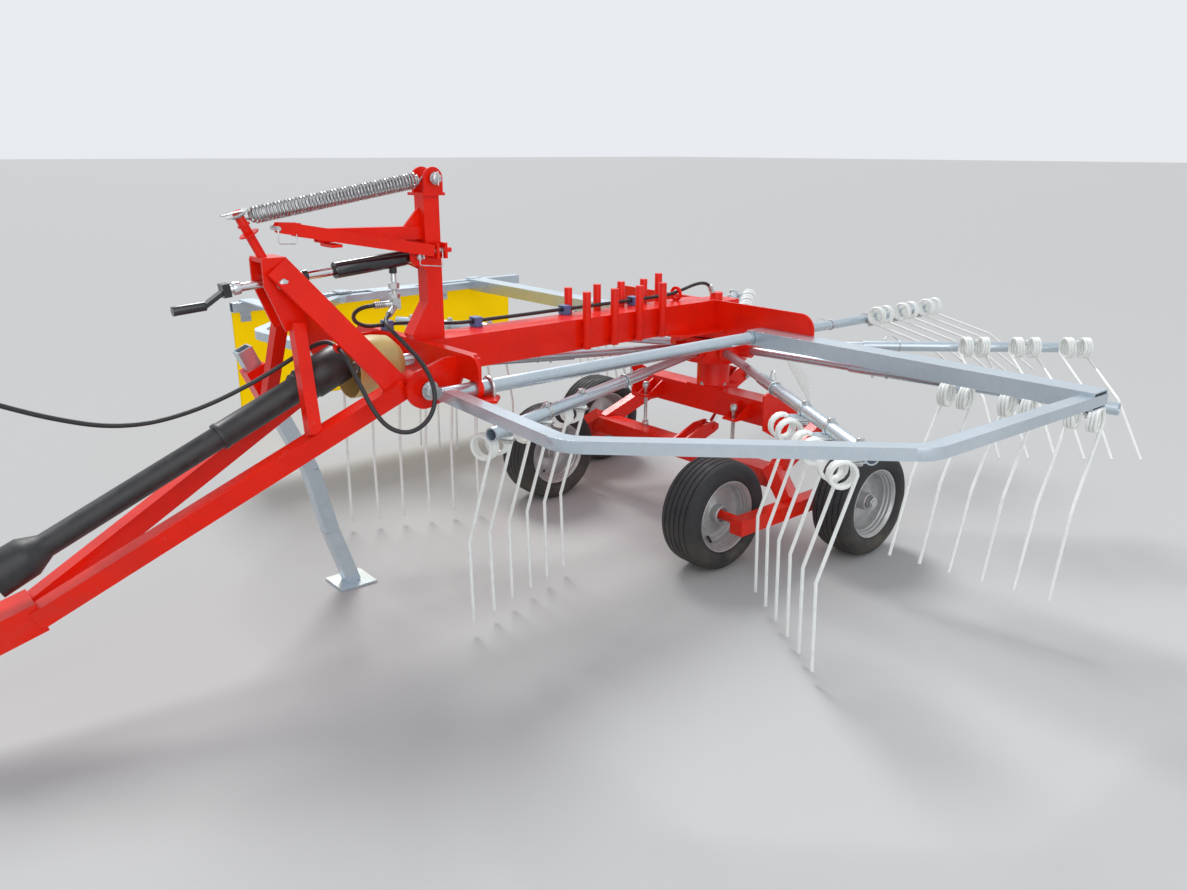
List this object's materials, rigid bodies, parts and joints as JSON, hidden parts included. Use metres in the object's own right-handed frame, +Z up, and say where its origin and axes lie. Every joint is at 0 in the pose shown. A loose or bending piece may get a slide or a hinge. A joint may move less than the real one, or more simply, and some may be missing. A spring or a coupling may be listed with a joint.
{
  "type": "rotary hay rake",
  "caption": "Trailed rotary rake with a tine rotor under a box beam, four small wheels, folding side guards, a swath curtain, a crank-set drawbar and a parking stand.",
  "frame": {"origin": "centre of the bounding box on the ground plane", "axes": "+X forward to the hitch eye, +Y to the machine's left side, +Z up"},
  "size_m": [4.0159, 2.9423, 1.2769],
  "materials": {
    "orange_red": "glossy orange-red paint",
    "galvanised": "hot-dip galvanised, satin",
    "cream_paint": "cream-white paint, satin",
    "silver_paint": "silver paint, satin",
    "black_paint": "black paint, satin",
    "black_plastic": "matt black plastic",
    "cream_plastic": "cream-yellow plastic",
    "polished_rod": "hard chrome",
    "zinc": "zinc plated, bright",
    "tyre": "black rubber, dusty",
    "yellow_cloth": "coated cloth, yellow",
    "hose_rubber": "black rubber hose",
    "blue_plastic": "blue plastic clamp"
  },
  "bodies": {
    "main_frame": {"main_beam": "orange_red", "transport_lock_bar": "orange_red", "front_crosshead": "orange_red", "rear_crosshead": "orange_red", "storage_pegs": "orange_red", "gearbox": "orange_red", "input_shaft": "galvanised", "shaft_cup": "cream_plastic", "top_chassis": "orange_red", "lift_spring": "zinc", "hose_clamps": "blue_plastic", "beam_hose": "hose_rubber", "loop_hose": "hose_rubber"},
    "rotor": {"rotor_hub": "orange_red", "rake_arm_1": "galvanised", "rake_arm_2": "galvanised", "rake_arm_3": "galvanised", "rake_arm_4": "galvanised", "rake_arm_5": "galvanised", "rake_arm_6": "galvanised", "rake_arm_7": "galvanised", "rake_arm_8": "galvanised", "rake_arm_9": "galvanised", "tines_1": "cream_paint", "tines_2": "cream_paint", "tines_3": "cream_paint", "tines_4": "cream_paint", "tines_5": "cream_paint", "tines_6": "cream_paint", "tines_7": "cream_paint", "tines_8": "cream_paint", "tines_9": "cream_paint"},
    "lower_frame": {"low_chassis": "orange_red", "limit_rods": "zinc"},
    "lift_cylinder_barrel": {"lift_barrel": "black_paint"},
    "lift_cylinder_rod": {"lift_rod": "polished_rod"},
    "drawbar_frame": {"drawbar": "orange_red", "hitch_eye": "black_paint", "feed_hose": "hose_rubber", "feed_plug": "zinc"},
    "tilt_cylinder_barrel": {"tilt_barrel": "black_paint", "cylinder_fittings": "zinc"},
    "tilt_cylinder_rod": {"tilt_rod": "polished_rod", "crank": "black_paint"},
    "driveline": {"drive_shaft": "black_plastic"},
    "stand": {"parking_stand": "galvanised"},
    "left_guard": {"guard_left": "galvanised"},
    "right_guard": {"guard_right": "galvanised", "curtain_rail": "galvanised", "curtain": "yellow_cloth"},
    "wheel_front_left": {"tyre_front_left": "tyre", "rim_front_left": "silver_paint"},
    "wheel_front_right": {"tyre_front_right": "tyre", "rim_front_right": "silver_paint"},
    "wheel_rear_left": {"tyre_rear_left": "tyre", "rim_rear_left": "silver_paint"},
    "wheel_rear_right": {"tyre_rear_right": "tyre", "rim_rear_right": "silver_paint"}
  },
  "joints": [
    {"name": "rotor_turn", "type": "hinge", "parent": "main_frame", "child": "rotor", "pos_m": [-0.61, 0.0212, 0.616], "axis": [0, 0, 1], "continuous": true},
    {"name": "lower_frame_lift", "type": "hinge", "parent": "main_frame", "child": "lower_frame", "pos_m": [-0.735, 0.0212, 0.365], "axis": [0, 1, 0], "range_deg": [-2, 4]},
    {"name": "lift_barrel_swing", "type": "hinge", "parent": "main_frame", "child": "lift_cylinder_barrel", "pos_m": [-0.768, 0.0212, 0.482], "axis": [0, 1, 0], "range_deg": [-1.62, 2.75]},
    {"name": "lift_rod_stroke", "type": "slide", "parent": "lift_cylinder_barrel", "child": "lift_cylinder_rod", "axis": [0.6783, 0, -0.7348], "range_m": [-0.0029, 0.0048]},
    {"name": "drawbar_pitch", "type": "hinge", "parent": "main_frame", "child": "drawbar_frame", "pos_m": [0.79, 0.0212, 0.713], "axis": [0, 1, 0], "range_deg": [-6, 2], "deforming": ["lift_spring", "loop_hose", "beam_hose"]},
    {"name": "tilt_barrel_swing", "type": "hinge", "parent": "main_frame", "child": "tilt_cylinder_barrel", "pos_m": [0.668, 0.0212, 1.034], "axis": [0, 1, 0], "range_deg": [-4.41, 1.8]},
    {"name": "tilt_rod_stroke", "type": "slide", "parent": "tilt_cylinder_barrel", "child": "tilt_cylinder_rod", "axis": [0.9961, 0, -0.0882], "range_m": [-0.0337, 0.0119]},
    {"name": "driveline_swing", "type": "hinge", "parent": "main_frame", "child": "driveline", "pos_m": [0.965, 0.0212, 0.742], "axis": [0, 1, 0], "range_deg": [-7.54, 2.71]},
    {"name": "stand_slide", "type": "slide", "parent": "drawbar_frame", "child": "stand", "axis": [0.3888, 0, 0.9213], "range_m": [0, 0.2]},
    {"name": "left_guard_fold", "type": "hinge", "parent": "main_frame", "child": "left_guard", "pos_m": [0.09, 0.3212, 0.706], "axis": [1, 0, 0], "range_deg": [0, 95]},
    {"name": "right_guard_fold", "type": "hinge", "parent": "main_frame", "child": "right_guard", "pos_m": [0.09, -0.2788, 0.706], "axis": [-1, 0, 0], "range_deg": [0, 95]},
    {"name": "wheel_front_left_turn", "type": "hinge", "parent": "lower_frame", "child": "wheel_front_left", "pos_m": [-0.15, 0.4612, 0.185], "axis": [0, 1, 0], "continuous": true},
    {"name": "wheel_front_right_turn", "type": "hinge", "parent": "lower_frame", "child": "wheel_front_right", "pos_m": [-0.15, -0.4188, 0.185], "axis": [0, 1, 0], "continuous": true},
    {"name": "wheel_rear_left_turn", "type": "hinge", "parent": "lower_frame", "child": "wheel_rear_left", "pos_m": [-0.62, 0.7032, 0.185], "axis": [0, 1, 0], "continuous": true},
    {"name": "wheel_rear_right_turn", "type": "hinge", "parent": "lower_frame", "child": "wheel_rear_right", "pos_m": [-0.62, -0.6608, 0.185], "axis": [0, 1, 0], "continuous": true}
  ],
  "couplings": [
    {"joint": "lift_barrel_swing", "follows": "lower_frame_lift", "ratio": 0.56194},
    {"joint": "lift_rod_stroke", "follows": "lower_frame_lift", "m_per_rad": 0.053764},
    {"joint": "tilt_barrel_swing", "follows": "drawbar_pitch", "ratio": 0.65154},
    {"joint": "tilt_rod_stroke", "follows": "drawbar_pitch", "m_per_rad": 0.31253},
    {"joint": "driveline_swing", "follows": "drawbar_pitch", "ratio": 1.207}
  ]
}
